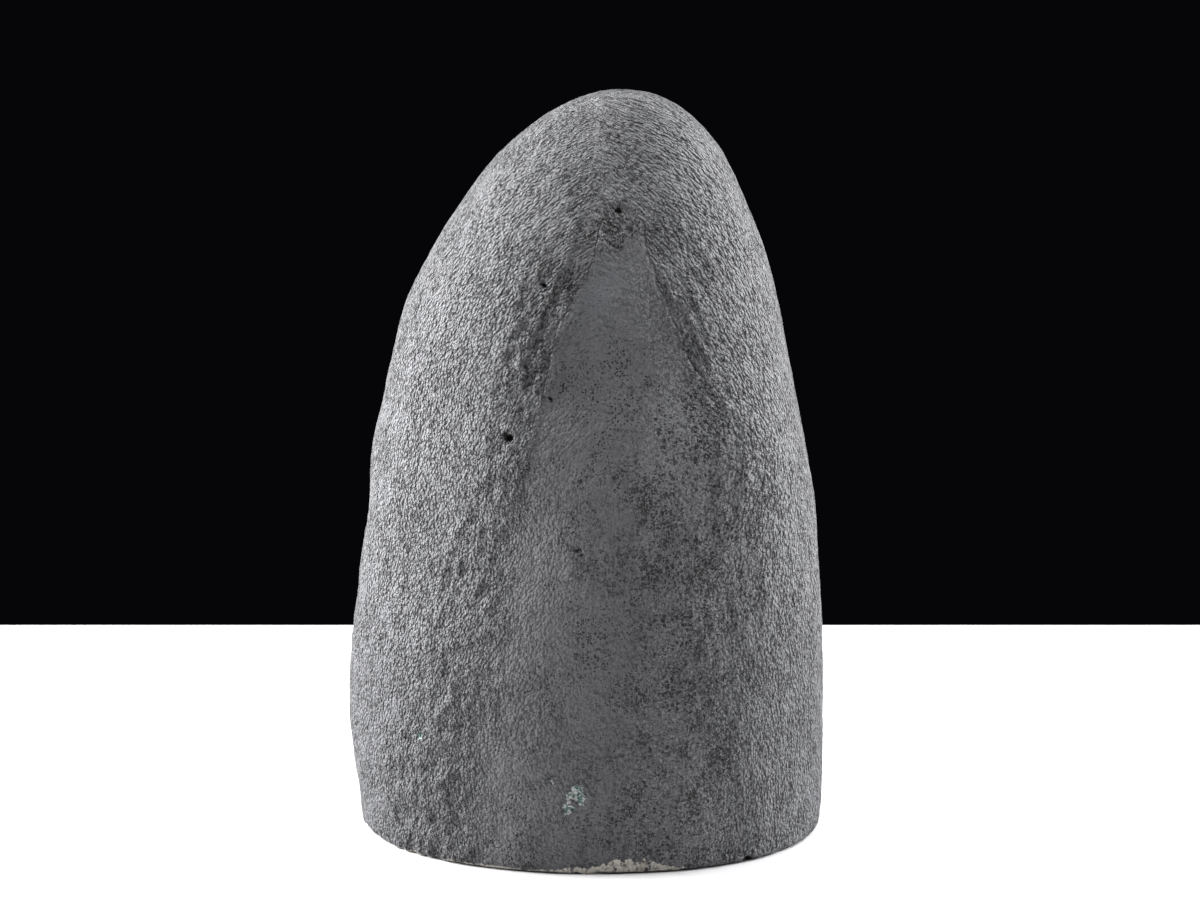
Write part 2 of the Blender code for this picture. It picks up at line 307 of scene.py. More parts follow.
def add_softbox(name, place, size, watts):
    data = bpy.data.lights.new(name, "AREA")
    data.shape = "RECTANGLE"
    data.size, data.size_y = size
    data.energy = watts
    light = linked(name, data)
    light.location = place
    light.rotation_euler = (CAMERA_AIM - Vector(place)).to_track_quat("-Z", "Y").to_euler()


# -------- mesh helpers


def linked(name, data):
    made = bpy.data.objects.new(name, data)
    bpy.context.scene.collection.objects.link(made)
    return made


def object_from_bmesh(name, shape):
    mesh = bpy.data.meshes.new(name)
    shape.to_mesh(mesh)
    shape.free()
    return linked(name, mesh)


def object_from_arrays(name, points, faces):
    mesh = bpy.data.meshes.new(name)
    mesh.from_pydata(points.tolist(), [], faces.tolist())
    return linked(name, mesh)


def write_attribute(mesh, name, values):
    layer = mesh.attributes.new(name, "FLOAT", "POINT")
    layer.data.foreach_set("value", np.asarray(values, np.float32))


def connected(start):
    body = {start}
    to_visit = [start]
    while to_visit:
        vert = to_visit.pop()
        fresh = {edge.other_vert(vert) for edge in vert.link_edges} - body
        body |= fresh
        to_visit.extend(fresh)
    return body


def islands_of(shape):
    """The islands of a bmesh as vertex sets, the one with the largest box first."""
    left = set(shape.verts)
    islands = []
    while left:
        island = connected(next(iter(left)))
        left -= island
        islands.append(island)
    return sorted(islands, key=box_size, reverse=True)


def box_size(island):
    places = np.array([vert.co[:] for vert in island])
    return np.ptp(places, axis=0).sum()


def arrays(shape):
    """(points, faces) of a bmesh cut into triangles. Faces held in arrays are always triangles."""
    bmesh.ops.triangulate(shape, faces=shape.faces[:])
    shape.verts.index_update()
    points = np.array([vert.co[:] for vert in shape.verts])
    faces = np.array([[vert.index for vert in face.verts] for face in shape.faces])
    shape.free()
    return points, faces


def edges_of(faces):
    """(all edges, boundary edges) as sorted pairs of point numbers."""
    pairs = np.sort(faces[:, [[0, 1], [1, 2], [2, 0]]].reshape(-1, 2), axis=1)
    edges, uses = np.unique(pairs, axis=0, return_counts=True)
    return edges, edges[uses == 1]


def boundary_loop(faces):
    """The point numbers around the one boundary of a sheet, in order."""
    after = {}
    for first, second in edges_of(faces)[1].tolist():
        after.setdefault(first, []).append(second)
        after.setdefault(second, []).append(first)
    start = min(after)
    loop = [start]
    previous, here = start, after[start][0]
    while here != start:
        loop.append(here)
        onward = [point for point in after[here] if point != previous]
        previous, here = here, onward[0]
    assert len(loop) == len(after), "the sheet has more than one boundary"
    return np.array(loop)


def relaxed(points, faces, pinned, rounds):
    """The points smoothed among their neighbours, and on the boundary along it alone."""
    edges, rim = edges_of(faces)
    on_rim = np.zeros(len(points), bool)
    on_rim[rim.ravel()] = True
    inner = edges[~(on_rim[edges[:, 0]] | on_rim[edges[:, 1]])]
    mixed = edges[on_rim[edges[:, 0]] != on_rim[edges[:, 1]]]
    free_end = np.where(on_rim[mixed[:, 0]], mixed[:, 1], mixed[:, 0])
    rim_end = np.where(on_rim[mixed[:, 0]], mixed[:, 0], mixed[:, 1])
    to = np.concatenate([inner[:, 0], inner[:, 1], free_end, rim[:, 0], rim[:, 1]])
    of = np.concatenate([inner[:, 1], inner[:, 0], rim_end, rim[:, 1], rim[:, 0]])
    count = np.bincount(to, minlength=len(points))
    hold = pinned | (count == 0)
    count = np.maximum(count, 1)
    for _ in range(rounds):
        total = np.stack([np.bincount(to, points[of, axis], len(points)) for axis in range(3)], 1)
        mean = total / count[:, None]
        mean[hold] = points[hold]
        points = 0.5 * (points + mean)
    return points


def normals_of(points, faces):
    a, b, c = (points[faces[:, corner]] for corner in range(3))
    across = np.cross(b - a, c - a)
    total = np.zeros_like(points)
    for corner in range(3):
        for axis in range(3):
            total[:, axis] += np.bincount(faces[:, corner], across[:, axis], len(points))
    return total / np.linalg.norm(total, axis=1, keepdims=True)


def facing(points, faces, outward):
    """(faces, normals) of a sheet turned to face away from its middle, or towards it."""
    normals = normals_of(points, faces)
    faces_out = (normals * (points - points.mean(axis=0))).sum() > 0.0
    if faces_out != outward:
        return faces[:, ::-1], -normals
    return faces, normals


def strip(first, second):
    """Faces between two closed rows with as many points each."""
    after_first, after_second = np.roll(first, -1), np.roll(second, -1)
    return [np.stack([first, after_first, second], 1), np.stack([after_first, after_second, second], 1)]


def finish_body(made, kinds):
    """Turns a closed body's faces outward. Kind 0 is smooth, and edges between two kinds are sharp."""
    shape = bmesh.new()
    shape.from_mesh(made.data)
    bmesh.ops.recalc_face_normals(shape, faces=shape.faces[:])
    assert all(len(edge.link_faces) == 2 for edge in shape.edges), made.name + " is open"
    for face, kind in zip(shape.faces, kinds):
        face.smooth = bool(kind == 0)
    for edge in shape.edges:
        first, second = edge.link_faces
        edge.smooth = bool(kinds[first.index] == kinds[second.index])
    shape.to_mesh(made.data)
    shape.free()


def ripple(points, wavelengths, seed):
    """Smooth noise from -1 to 1, with one wavelength in millimetres or one for each axis."""
    scaled = points / (np.array(wavelengths) * MM) + seed * RIPPLE_SEED_STEP
    return np.array([noise.noise(place) for place in scaled.tolist()])


def ramp(value, low, high):
    """0 at low, 1 at high, smooth between and level outside."""
    share = np.clip((value - low) / (high - low), 0.0, 1.0)
    return share * share * (3.0 - 2.0 * share)


def between(value, low, full, still_full, high):
    """0 outside low and high, and 1 from full to still_full."""
    return ramp(value, low, full) * (1.0 - ramp(value, still_full, high))


def inside(places, rings):
    """Which 2-D places lie inside the first ring and outside any others."""
    odd = np.zeros(len(places), bool)
    for ring in rings:
        following = np.roll(ring, -1, axis=0)
        for (x0, y0), (x1, y1) in zip(ring, following):
            if y0 == y1:
                continue
            crosses = (places[:, 1] >= min(y0, y1)) & (places[:, 1] < max(y0, y1))
            at = x0 + (places[:, 1] - y0) * (x1 - x0) / (y1 - y0)
            odd ^= crosses & (places[:, 0] < at)
    return odd


def near(places, targets):
    """The distance from each place to the nearest target."""
    tree = KDTree(len(targets))
    for number, target in enumerate(targets):
        tree.insert((*target, 0.0) if len(target) == 2 else target, number)
    tree.balance()
    asked = [(*place, 0.0) if len(place) == 2 else place for place in places.tolist()]
    return np.array([tree.find(place)[2] for place in asked])


def flat_fill(rings, spacing):
    """(fresh 2-D points, faces) that fill a flat region. The count starts with the rings' points."""
    border = np.concatenate(rings)
    low, high = border.min(axis=0), border.max(axis=0)
    grid = []
    for row, y in enumerate(np.arange(low[1], high[1], spacing * FILL_ROW_SPACING)):
        stagger = (row % 2) * spacing / 2.0
        grid += [(x + stagger, y) for x in np.arange(low[0], high[0], spacing)]
    grid = np.array(grid)
    grid = grid[inside(grid, rings)]
    grid = grid[near(grid, border) > FILL_CLEARANCE * spacing]
    edges = []
    start = 0
    for ring in rings:
        edges += [(start + number, start + (number + 1) % len(ring)) for number in range(len(ring))]
        start += len(ring)
    places = [Vector(place) for place in np.concatenate([border, grid]).tolist()]
    out, _, cut_faces, origin, _, _ = delaunay_2d_cdt(places, edges, [], 0, JOIN_DISTANCE)
    assert len(out) == len(places), "the outline crosses itself"
    number = np.array([sources[0] for sources in origin])
    faces = number[np.array(cut_faces)]
    flat = np.concatenate([border, grid])
    faces = faces[inside(flat[faces].mean(axis=1), rings)]
    return grid, faces


# -------- shell


def shell_sheets(node, offset):
    """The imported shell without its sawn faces: the outer sheet and the hollow's, each a bmesh."""
    sheets = []
    for wanted in (0, 1):
        shape = bmesh.new()
        shape.from_mesh(node.data)
        bmesh.ops.remove_doubles(shape, verts=shape.verts[:], dist=0.001 * MM)
        sawn = [face for face in shape.faces if is_sawn(face, offset)]
        bmesh.ops.delete(shape, geom=sawn, context="FACES")
        for number, island in enumerate(islands_of(shape)):
            if number != wanted:
                bmesh.ops.delete(shape, geom=list(island), context="VERTS")
        weld_short_edges(shape, offset)
        sheets.append(shape)
    return sheets


def weld_short_edges(shape, offset):
    """Closes edges too short to cut up, towards the end in more saw cuts."""
    short = [edge for edge in shape.edges if edge.calc_length() < SHORTEST_EDGE]
    while short:
        keep, drop = sorted(short[0].verts, key=lambda vert: -sum(in_cuts(vert, offset)))
        bmesh.ops.weld_verts(shape, targetmap={drop: keep})
        short = [edge for edge in shape.edges if edge.calc_length() < SHORTEST_EDGE]


def in_cuts(vert, offset):
    """(whether a vertex lies in the sawn front, whether it lies in the foot)."""
    in_front = abs(float(FRONT_NORMAL @ np.array(vert.co)) - offset) < ON_PLANE
    return in_front, abs(vert.co.z) < ON_PLANE


def is_sawn(face, offset):
    """Whether a face lies wholly in a saw cut."""
    in_front, in_foot = zip(*(in_cuts(vert, offset) for vert in face.verts))
    return all(in_front) or all(in_foot)


def on_front(points, offset):
    return np.abs(points @ FRONT_NORMAL - offset) < ON_PLANE


def press_to_front(points, chosen, offset):
    """Moves the chosen points straight into the plane of the sawn front."""
    points[chosen] -= (points[chosen] @ FRONT_NORMAL - offset)[:, None] * FRONT_NORMAL


def refined(shape, cuts, rounds, offset):
    """The sheet cut finer and smoothed, its border kept in the planes of the saw cuts."""
    bmesh.ops.subdivide_edges(shape, edges=shape.edges[:], cuts=cuts, use_grid_fill=True)
    points, faces = arrays(shape)
    low = np.abs(points[:, 2]) < ON_PLANE
    front = on_front(points, offset)
    points = relaxed(points, faces, low & front, rounds)
    return without_flat_ears(points, faces, low, front)


def without_flat_ears(points, faces, low, front):
    """The sheet without the border faces that lie wholly in a saw cut."""
    flat = low[faces].all(axis=1) | front[faces].all(axis=1)
    faces = faces[~flat]
    used = np.unique(faces)
    number = np.zeros(len(points), int)
    number[used] = np.arange(len(used))
    return points[used], number[faces], low[used], front[used]


def coat_surface(shape, offset):
    """(points, faces, masks) of the coat with its relief."""
    points, faces, low, front = refined(shape, COAT_CUTS, COAT_ROUNDS, offset)
    faces, normals = facing(points, faces, outward=True)
    masks = coat_masks(points)
    strokes = stroke_coordinates(points)
    height = coat_relief(points, masks, strokes)
    height -= edge_rounding(offset - points @ FRONT_NORMAL, FRONT_EDGE_RADIUS)
    height -= edge_rounding(points[:, 2], FOOT_EDGE_RADIUS)
    points = points + normals * height[:, None] * MM
    press_to_front(points, front, offset)
    points[low, 2] = 0.0
    corner = low & front
    points[corner, 1] = offset / FRONT_NORMAL[1]
    masks["plus_around"], masks["plus_along"] = strokes[0]
    masks["minus_around"], masks["minus_along"] = strokes[1]
    return points, faces, masks


def edge_rounding(distance, radius):
    """How many millimetres in a surface lies at a distance from a rounded edge."""
    along = np.clip(1.0 - distance / (radius * MM), 0.0, 1.0)
    return radius * (1.0 - np.sqrt(1.0 - along * along)) * EDGE_ROUNDING


def averaged(values, window):
    """Each value's mean over a window around it, with the ends carried on."""
    return np.convolve(np.pad(values, window // 2, "edge"), np.ones(window) / window, "valid")


def stroke_coordinates(points):
    """For each side, (distance round from the outline, distance along it) at each point, in millimetres.

    The cement was brushed along the outline, so a stroke keeps the first number."""
    x, y, z = (points / MM).T
    levels = np.arange(0.0, z.max(), OUTLINE_STEP)
    middles = levels + OUTLINE_STEP / 2.0
    level = np.clip((z / OUTLINE_STEP).astype(int), 0, len(levels) - 1)
    coordinates = []
    for side in (1.0, -1.0):
        order = np.argsort(side * x, kind="stable")
        widest = np.zeros(len(levels), int)
        widest[level[order]] = order
        edge_x = averaged(x[widest], 5)
        edge_y = averaged(y[widest], 17)
        run = np.hypot(np.gradient(edge_x), np.gradient(levels))
        along = np.interp(z, middles, np.cumsum(run))
        offset_x = x - np.interp(z, middles, edge_x)
        offset_y = y - np.interp(z, middles, edge_y)
        around = np.hypot(offset_x, offset_y) * np.tanh(offset_y / 2.0)
        coordinates.append((around, along))
    return coordinates


def stroke_ripple(coordinates, lengths, seed):
    """Smooth noise from -1 to 1 with a length across the brush strokes and a length along them."""
    around, along = coordinates[0] / lengths[0], coordinates[1] / lengths[1]
    scaled = np.stack([around, along, np.full(len(around), seed * STROKE_SEED_STEP)], 1)
    return np.array([noise.noise(place) for place in scaled.tolist()])


def spots(x, z, table):
    """1 in the middle of each of a table's spots, one half at its radius, and 0 at twice that."""
    total = np.zeros(len(x))
    for spot_x, spot_z, radius in table:
        total = np.maximum(total, 1.0 - np.hypot(x - spot_x, z - spot_z) / (2.0 * radius))
    return total


def coat_masks(points):
    """Where the coat is of each kind, mostly from 0 to 1."""
    x, y, z = (points / MM).T
    wander = 4.0 * ripple(points, (14, 14, 20), 4) + 2.0 * ripple(points, (5, 5, 7), 5)
    back = ramp(y, *BACK_Y)
    off_left = x - np.interp(z, *STEP_LEFT)
    off_right = x - np.interp(z, *STEP_RIGHT)
    facet = facet_mask(off_left, off_right, z, 0.08 * wander, back)
    lumpy = line_mask(x, z, wander, LUMPY_LINE, LUMPY_REACH) * ramp(off_left, -1.0, 3.0)
    streaky = line_mask(x, z, wander, STREAKY_LINE, STREAKY_REACH)
    return {
        "flank": flank_mask(x, y, z, wander),
        "facet": facet,
        "ridges": ridge_mask(points, off_left, off_right, z, back),
        "bare": facet * between(z, *BARE_Z),
        "speckled": speckle_mask(x, z, wander, back),
        "lumpy": lumpy * (1.0 - ramp(z, *LUMPY_TOP_Z)) * back,
        "streaky": streaky * between(z, *STREAKY_Z) * back,
        "pit": spots(x, z, PITS) * back,
        "worn": worn_mask(x, y, z),
        "chip": spots(x, z, CHIPS) * back,
        "plus_side": ramp(x, -6.0, 2.0),
        # where painted shade darkens the grey: low down and towards the front
        "low": ramp(z, *LOW_Z),
        "forward": ramp(-y, *FORWARD_Y),
    }


def flank_mask(x, y, z, wander):
    """The rough flanks, dome and front of the coat."""
    plus_border = np.interp(z, *FLANK_BORDER_PLUS)
    minus_border = np.interp(z, *FLANK_BORDER_MINUS)
    plus_flank = ramp(x + wander, plus_border - 3.0, plus_border + 5.0)
    minus_flank = ramp(-x + wander, minus_border - 5.0, minus_border + 5.0)
    return np.maximum.reduce([plus_flank, minus_flank, ramp(z + wander, *DOME_Z), ramp(-y, *BACK_Y)])


def facet_mask(off_left, off_right, z, wander, back):
    """The smooth facet between its steps."""
    sides = ramp(wander - off_left, -0.8, 0.8) * ramp(off_right + wander, -1.2, 1.2)
    return sides * ramp(z, *FACET_Z) * back * (1.0 - ramp(z + wander, *FACET_TIP_Z))


def ridge_mask(points, off_left, off_right, z, back):
    """Thin ridges beside the facet's steps, broken up along their length."""
    wobble = 0.9 * ripple(points, (3, 3, 5), 11)
    ridges = np.zeros(len(points))
    for off_step, table in ((off_left, LEFT_RIDGES), (off_right, RIGHT_RIDGES)):
        for distance, height in table:
            ridge = np.exp(-((off_step - distance - wobble) / RIDGE_WIDTH) ** 2)
            ridges = np.maximum(ridges, height * ridge)
    return ridges * between(z, *RIDGES_Z) * back * ramp(ripple(points, (3, 3, 7), 12), -0.40, 0.10)


def speckle_mask(x, z, wander, back):
    """The specks on the -X side, up to 1, and on the facet's tip, up to 2."""
    beside = between(-x + wander, *SPECKLED_MINUS_X) * (1.0 - ramp(z, *SPECKLED_TOP_Z))
    tip_dots = 2.0 * np.exp(-((x + 5.0) / 6.0) ** 2 - ((z - 150.0) / 5.0) ** 2)
    return np.maximum(beside, tip_dots) * back


def line_mask(x, z, wander, line, reach):
    """1 along a line down the back, and 0 out of its reach."""
    off_line = np.abs(x - np.interp(z, *line)) + 0.5 * wander
    return ramp(-off_line, *reach)


def worn_mask(x, y, z):
    """The foot's worn edge, highest near the middle."""
    height = 1.6 + 4.6 * np.exp(-((x + 10.0) / 12.0) ** 2)
    return (1.0 - ramp(z, 0.3 * height, height)) * ramp(y, *WORN_Y) * between(x, *WORN_X)


def coat_relief(points, masks, strokes):
    """The brushed cement's height over the smooth form, in millimetres."""
    patchy = 0.75 + 0.45 * ripple(points, (16, 16, 22), 10)
    kinds = ((0.25 + 0.75 * masks["flank"]) * patchy, masks["lumpy"], masks["streaky"])
    bed = both_sides(strokes, masks["plus_side"], LONG_STROKES, 1) * weighed(LONG_STROKE_RELIEF, kinds)
    bed += both_sides(strokes, masks["plus_side"], SHORT_STROKES, 3) * weighed(SHORT_STROKE_RELIEF, kinds)
    bed += ripple(points, (2.6, 2.0, 2.6), 3) * weighed(LUMP_RELIEF, kinds)
    bed += SWELL_RELIEF * ripple(points, (11, 8, 13), 2)
    calm = 1.0 - 0.65 * masks["facet"]
    pits = -PIT_DEPTH * ramp(masks["pit"], 0.35, 0.75)
    chips = -CHIP_DEPTH * ramp(masks["chip"], 0.35, 0.65)
    level = bed * calm - COAT_DEPTH - FACET_DEPTH * masks["facet"]
    return level + RIDGE_RELIEF * masks["ridges"] + pits + chips


def both_sides(strokes, plus_side, lengths, seed):
    """The strokes of the +X side and of the -X side, blended where they meet."""
    plus = stroke_ripple(strokes[0], lengths[0], seed)
    minus = stroke_ripple(strokes[1], lengths[1], seed + 1)
    return plus * plus_side + minus * (1.0 - plus_side)


def weighed(weights, kinds):
    return sum(weight * kind for weight, kind in zip(weights, kinds))


def hollow_surface(shape, offset):
    points, faces, _, front = refined(shape, HOLLOW_CUTS, HOLLOW_ROUNDS, offset)
    press_to_front(points, front, offset)
    return points, faces


def make_shell(coat, coat_faces, masks, hollow, hollow_faces, offset):
    """One closed body: the coat, the sawn front, the hollow's wall and the sawn foot."""
    front_arc, foot_arc = split_arcs(boundary_loop(coat_faces), coat, offset)
    hollow_loop = boundary_loop(hollow_faces) + len(coat)
    start, end = coat[front_arc[-1]], coat[front_arc[0]]
    steps = int(np.linalg.norm(end - start) / FOOT_LINE_SPACING)
    shares = np.arange(1, steps)[:, None] / steps
    points = np.concatenate([coat, hollow, start + (end - start) * shares])
    line = len(coat) + len(hollow) + np.arange(steps - 1)
    rings = [np.concatenate([front_arc, line]), hollow_loop]
    up = np.array((0.0, FRONT_NORMAL[2], -FRONT_NORMAL[1]))
    points, front_faces = with_cut_filled(points, rings, FRONT_NORMAL * offset, up, RIM_SPACING)
    rings = [np.concatenate([foot_arc, line[::-1]])]
    up = np.array((0.0, 1.0, 0.0))
    points, foot_faces = with_cut_filled(points, rings, np.zeros(3), up, FOOT_SPACING)

    parts = [coat_faces, hollow_faces + len(coat), front_faces, foot_faces]
    finishes = np.repeat([COAT, SAWN_FRONT, SAWN_FRONT, SAWN_FOOT], [len(part) for part in parts])
    shell = object_from_arrays("coated_shell", points, np.concatenate(parts))
    finish_body(shell, finishes)
    shell.data.polygons.foreach_set("material_index", finishes.astype(np.int32))
    rest = np.zeros(len(points) - len(coat))
    for name, values in masks.items():
        write_attribute(shell.data, name, np.concatenate([values, rest]))
    write_attribute(shell.data, "from_hollow", near(points, points[hollow_loop]) / MM)
    write_attribute(shell.data, "from_coat", near(points, points[front_arc]) / MM)
    for material in (coat_material(), rim_material(), foot_material()):
        shell.data.materials.append(material)
    return shell


def with_cut_filled(points, rings, origin, up, spacing):
    """(points, faces) with the flat region between rings filled, in the plane of X and up."""
    flat = np.stack([points[:, 0], points @ up], 1)
    grid, filled = flat_fill([flat[ring] for ring in rings], spacing)
    fresh = origin + grid[:, :1] * np.array((1.0, 0.0, 0.0)) + grid[:, 1:] * up
    lookup = np.concatenate([*rings, len(points) + np.arange(len(grid))])
    return np.concatenate([points, fresh]), lookup[filled]


def split_arcs(loop, points, offset):
    """The coat's border from corner to corner: on the sawn front, and round the foot."""
    front = on_front(points[loop], offset)
    low = np.abs(points[loop][:, 2]) < ON_PLANE
    corners = np.flatnonzero(front & low)
    assert len(corners) == 2, "the border has %d corners" % len(corners)
    first, second = corners
    one = loop[first:second + 1]
    other = np.concatenate([loop[second:], loop[:first + 1]])
    if on_front(points[one[len(one) // 2]][None], offset)[0]:
        return one, other[::-1]
    return other[::-1], one


# -------- band


def make_band(outer, faces, offset):
    """The quartz lining, a closed body between the hollow's wall and the crystals' roots."""
    faces, normals = facing(outer, faces, outward=False)
    loop = boundary_loop(faces)
    swell = 0.16 * ripple(outer, 26.0, 6) + 0.10 * ripple(outer, 9.0, 7)
    thickness = BAND_THICKNESS * (1.0 + swell)
    inner = outer + band_direction(outer, normals, offset) * thickness[:, None]
    press_to_front(inner, loop, offset)
    inner = relaxed(inner, faces, np.zeros(len(inner), bool), BAND_ROUNDS)

    count = len(outer)
    points = [outer, inner]
    depths = [np.zeros(count), np.ones(count)]
    strips = []
    previous = loop
    for ring in range(1, BAND_RINGS):
        depth = ring / BAND_RINGS
        here = count * 2 + (ring - 1) * len(loop) + np.arange(len(loop))
        points.append(outer[loop] * (1.0 - depth) + inner[loop] * depth)
        depths.append(np.full(len(loop), depth))
        strips += strip(previous, here)
        previous = here
    strips += strip(previous, loop + count)

    all_faces = np.concatenate([faces, faces + count, *strips])
    band = object_from_arrays("quartz_band", np.concatenate(points), all_faces)
    finish_body(band, np.arange(len(all_faces)) >= 2 * len(faces))
    write_attribute(band.data, "depth", np.concatenate(depths))
    band.data.materials.append(band_material())
    return band, inner, normals_of(inner, faces), faces


def band_direction(outer, normals, offset):
    """The way the band grows: along the saw cut there, and straight off the wall deeper in."""
    flat = normals - (normals @ FRONT_NORMAL)[:, None] * FRONT_NORMAL
    flat /= np.linalg.norm(flat, axis=1, keepdims=True)
    turn = ramp(offset - outer @ FRONT_NORMAL, 0.0, BAND_TURN_DEPTH)[:, None]
    direction = flat * (1.0 - turn) + normals * turn
    return direction / np.linalg.norm(direction, axis=1, keepdims=True)


# -------- points


def make_points(wall, normals, faces, offset):
    """The amethyst points: six-sided crystals grown into one another, sawn off at the front."""
    random = np.random.RandomState(POINT_SEED)
    wall, normals, faces = with_skirt(wall, normals, faces)
    crystals = bpy.data.collections.new("crystals")
    bpy.context.scene.collection.children.link(crystals)
    seeds = point_seeds(wall, normals, faces, random)
    for number, (place, outward, radius, height) in enumerate(seeds):
        tilt = Vector(random.normal(0.0, POINT_TILT, 3))
        turn = (outward + tilt).to_track_quat("Z", "Y").to_matrix().to_4x4()
        shape = crystal_shape(radius, height, random)
        shape.transform(Matrix.Translation(place) @ turn)
        mesh = bpy.data.meshes.new("crystal")
        shape.to_mesh(mesh)
        shape.free()
        crystals.objects.link(bpy.data.objects.new("crystal_%d" % number, mesh))
    block = front_block(offset)
    joined = boolean(crystals, block)
    for helper in [*crystals.objects, block]:
        bpy.data.objects.remove(helper)
    bpy.data.collections.remove(crystals)

    made = linked("amethyst_points", joined)
    points = np.array([vertex.co[:] for vertex in joined.vertices])
    write_attribute(joined, "rise", near(points, wall) / MM)
    joined.materials.clear()
    joined.materials.append(amethyst_material())
    return made


def point_seeds(wall, normals, faces, random):
    """(place, direction, radius, height) of each crystal, the large ones first."""
    seeds = []
    for spacing, least, most, low, high, tries in POINT_CLASSES:
        for place, outward in scattered(wall, normals, faces, tries, random):
            if any((place - other).length < spacing for other, _, _, _ in seeds):
                continue
            radius = random.uniform(least, most)
            seeds.append((place, outward, radius, radius * random.uniform(low, high)))
    return seeds


def with_skirt(wall, normals, faces):
    """The wall carried on in front of the saw cut, so that crystals there are cut through."""
    loop = boundary_loop(faces)
    ahead = wall[loop] + FRONT_NORMAL * SKIRT
    strips = strip(loop, np.arange(len(loop)) + len(wall))
    all_normals = np.concatenate([normals, normals[loop]])
    return np.concatenate([wall, ahead]), all_normals, np.concatenate([faces, *strips])


def scattered(points, normals, faces, tries, random):
    """Random places on a surface with the surface's direction there."""
    a, b, c = (points[faces[:, corner]] for corner in range(3))
    areas = np.linalg.norm(np.cross(b - a, c - a), axis=1)
    chosen = random.choice(len(faces), tries, p=areas / areas.sum())
    first = np.sqrt(random.uniform(size=tries))[:, None]
    second = random.uniform(size=tries)[:, None]
    weights = (1.0 - first, first * (1.0 - second), first * second)
    both = np.concatenate([points, normals], 1)
    picked = sum(weight * both[faces[chosen, corner]] for corner, weight in enumerate(weights))
    for row in picked.tolist():
        yield Vector(row[:3]), Vector(row[3:]).normalized()


def crystal_shape(radius, height, random):
    """A six-sided crystal with three large and three small faces at its point."""
    shape = bmesh.new()
    angles = [corner * math.pi / 3.0 for corner in range(6)]
    stretch = random.uniform(*POINT_STRETCH)
    ring = [(radius * math.cos(angle) * stretch, radius * math.sin(angle)) for angle in angles]
    low = [shape.verts.new((x, y, -ROOT_DEPTH)) for x, y in ring]
    high = [shape.verts.new((x, y, height + radius)) for x, y in ring]
    shape.faces.new(low[::-1])
    shape.faces.new(high)
    for corner in range(6):
        after = (corner + 1) % 6
        shape.faces.new((low[corner], low[after], high[after], high[corner]))
    for corner, angle in enumerate(angles):
        side = angle + math.pi / 6.0
        face = Vector((math.cos(side), math.sin(side), 0.0)) * math.sin(POINT_SLOPE)
        face.z = math.cos(POINT_SLOPE)
        set_back = random.uniform(*(SMALL_FACE_SET_BACK if corner % 2 else LARGE_FACE_SET_BACK))
        place = Vector((0.0, 0.0, height)) + face * radius * set_back
        everything = shape.verts[:] + shape.edges[:] + shape.faces[:]
        cut = bmesh.ops.bisect_plane(
            shape, geom=everything, plane_co=place, plane_no=face, clear_outer=True
        )
        edges = [item for item in cut["geom_cut"] if isinstance(item, bmesh.types.BMEdge)]
        bmesh.ops.holes_fill(shape, edges=edges, sides=0)
    return shape


def front_block(offset):
    """A block that fills everything behind the saw cut."""
    shape = bmesh.new()
    bmesh.ops.create_cube(shape, size=FRONT_BLOCK_SIZE)
    turn = Matrix.Rotation(-FRONT_LEAN, 4, "X")
    back = Vector((-FRONT_NORMAL).tolist())
    place = Vector((FRONT_NORMAL * offset).tolist()) + back * (FRONT_BLOCK_SIZE / 2.0 + FRONT_BLOCK_GAP)
    shape.transform(Matrix.Translation(place) @ turn)
    return object_from_bmesh("front_block", shape)


def boolean(crystals, block):
    """The mesh of all the crystals joined, kept where the block is."""
    blank = linked("blank", crystals.objects[0].data)
    join = blank.modifiers.new("join", "BOOLEAN")
    join.operand_type = "COLLECTION"
    join.collection = crystals
    join.operation = "UNION"
    join.solver = "MANIFOLD"
    crystals.objects.unlink(crystals.objects[0])
    keep = blank.modifiers.new("keep", "BOOLEAN")
    keep.object = block
    keep.operation = "INTERSECT"
    keep.solver = "MANIFOLD"
    evaluated = blank.evaluated_get(bpy.context.evaluated_depsgraph_get())
    mesh = bpy.data.meshes.new_from_object(evaluated)
    bpy.data.objects.remove(blank)
    return mesh


# -------- materials


class Value:
    """What a node gives. Arithmetic on it adds Math nodes."""

    def __init__(self, graph, socket):
        self.graph = graph
        self.socket = socket

    def __add__(self, other):
        return self.graph.math("ADD", self, other)

    def __mul__(self, other):
        return self.graph.math("MULTIPLY", self, other)

    def __rsub__(self, other):
        return self.graph.math("SUBTRACT", other, self)

    def __sub__(self, other):
        return self.graph.math("SUBTRACT", self, other)

    def most(self, other):
        return self.graph.math("MAXIMUM", self, other)

    def ramp(self, low, high, start=0.0, end=1.0):
        """Start at low, end at high, smooth between and level outside."""
        values = {"Value": self, "From Min": low, "From Max": high, "To Min": start, "To Max": end}
        return self.graph.node("MapRange", "Result", values, interpolation_type="SMOOTHSTEP")


